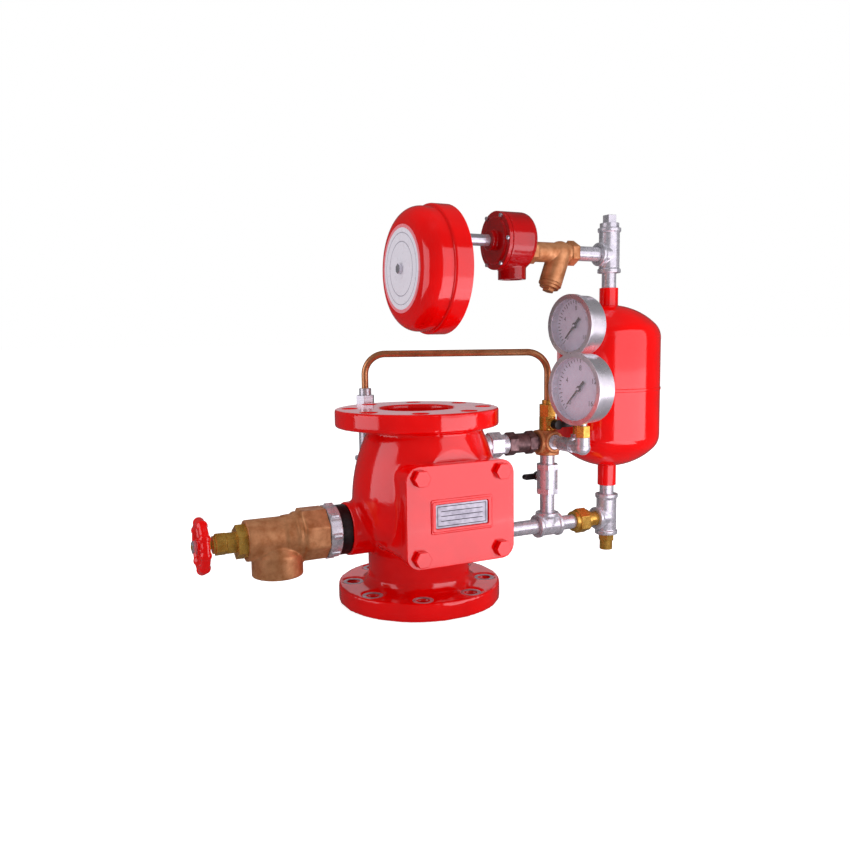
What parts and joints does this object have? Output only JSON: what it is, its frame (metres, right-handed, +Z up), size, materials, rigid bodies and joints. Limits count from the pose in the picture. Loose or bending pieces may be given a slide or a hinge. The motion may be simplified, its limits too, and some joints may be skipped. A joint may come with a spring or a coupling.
{
  "type": "sprinkler alarm valve",
  "caption": "Flanged wet-pipe alarm check valve with handhole cover, drain angle valve, retard chamber, strainer, water motor gong, copper bypass tube and pressure gauges.",
  "frame": {"origin": "centre of the lower flange face", "axes": "+Z up the waterway, -Y out of the handhole cover, +X toward the retard chamber"},
  "size_m": [0.7023, 0.2811, 0.53],
  "materials": {
    "red_paint": "glossy enamel on cast iron or steel",
    "dark_red_paint": "dark red enamel on a casting",
    "cast_bronze": "as-cast bronze",
    "bright_brass": "turned brass",
    "galvanised": "zinc-coated iron and steel",
    "bright_steel": "turned or rolled steel",
    "black_iron": "black malleable iron",
    "black_plastic": "moulded black plastic over a steel spindle",
    "rubber": "sheet rubber",
    "copper": "drawn copper tube",
    "plate_metal": "plain sheet, unprinted",
    "dial_white": "white enamelled sheet",
    "gauge_glass": "clear window glass"
  },
  "bodies": {
    "valve": {"valve_body": "red_paint", "handhole_cover": "red_paint", "cover_bolts": "red_paint", "retard_chamber": "red_paint", "gong": "red_paint", "motor_housing": "dark_red_paint", "motor_cover": "dark_red_paint", "gong_back_plate": "dark_red_paint", "seat_ring": "cast_bronze", "drain_valve_body": "cast_bronze", "strainer_body": "cast_bronze", "strainer_cap": "cast_bronze", "trim_cross": "cast_bronze", "drain_bonnet": "bright_brass", "gland_nut": "bright_brass", "alarm_union": "bright_brass", "drain_orifice": "bright_brass", "bypass_cock": "bright_brass", "tube_nuts": "bright_brass", "gauge_adapters": "bright_brass", "drain_locknut": "galvanised", "trim_nipples": "galvanised", "alarm_tee": "galvanised", "chamber_tee": "galvanised", "top_tee": "galvanised", "top_plug": "galvanised", "upper_union": "galvanised", "test_valve_body": "galvanised", "bypass_elbow": "galvanised", "gauge_manifold": "galvanised", "hinge_pin": "bright_steel", "hinge_pin_plugs": "bright_steel", "strainer_screen": "bright_steel", "motor_cover_screws": "bright_steel", "shaft_sleeve": "bright_steel", "gong_bolt": "bright_steel", "lower_gauge_case": "bright_steel", "upper_gauge_case": "bright_steel", "drain_nipple": "black_iron", "check_valve": "black_iron", "cover_gasket": "rubber", "copper_tube": "copper", "name_plate": "plate_metal", "gong_label": "plate_metal", "gauge_dials": "dial_white", "gauge_glasses": "gauge_glass"},
    "clapper": {"clapper": "cast_bronze", "clapper_seal": "rubber", "clapper_nut": "bright_steel"},
    "drain_disc": {"drain_disc": "cast_bronze"},
    "drain_wheel": {"drain_stem": "bright_brass", "drain_handwheel": "red_paint", "handwheel_nut": "bright_steel"},
    "test_handle": {"test_valve_handle": "black_plastic"},
    "bypass_plug": {"bypass_handle": "black_plastic"},
    "motor_rotor": {"turbine_wheel": "bright_brass", "drive_shaft": "bright_steel", "striker": "bright_brass"},
    "lower_needle": {"lower_needle": "black_plastic"},
    "upper_needle": {"upper_needle": "black_plastic"}
  },
  "joints": [
    {"name": "clapper_swing", "type": "hinge", "parent": "valve", "child": "clapper", "pos_m": [0, 0.06, 0.094], "axis": [-1, 0, 0], "range_deg": [0, 60]},
    {"name": "disc_lift", "type": "slide", "parent": "valve", "child": "drain_disc", "axis": [-1, 0, 0], "range_m": [0, 0.012]},
    {"name": "handwheel_turn", "type": "hinge", "parent": "drain_disc", "child": "drain_wheel", "pos_m": [-0.291, 0, 0.106], "axis": [-1, 0, 0], "range_deg": [0, 1080]},
    {"name": "test_valve_turn", "type": "hinge", "parent": "valve", "child": "test_handle", "pos_m": [0.212, 0.024, 0.144], "axis": [0, 1, 0], "range_deg": [0, 90]},
    {"name": "bypass_cock_turn", "type": "hinge", "parent": "valve", "child": "bypass_plug", "pos_m": [0.212, -0.022, 0.226], "axis": [0, -1, 0], "range_deg": [0, 90]},
    {"name": "motor_spin", "type": "hinge", "parent": "valve", "child": "motor_rotor", "pos_m": [0.13, 0, 0.485], "axis": [1, 0, 0], "continuous": true},
    {"name": "lower_needle_turn", "type": "hinge", "parent": "valve", "child": "lower_needle", "pos_m": [0.209, -0.084, 0.281], "axis": [0.9914, 0.1305, 0], "range_deg": [0, 270]},
    {"name": "upper_needle_turn", "type": "hinge", "parent": "valve", "child": "upper_needle", "pos_m": [0.228, -0.048, 0.367], "axis": [0.9914, 0.1305, 0], "range_deg": [0, 270]}
  ],
  "couplings": [
    {"joint": "disc_lift", "follows": "handwheel_turn", "m_per_rad": 0.000636}
  ]
}
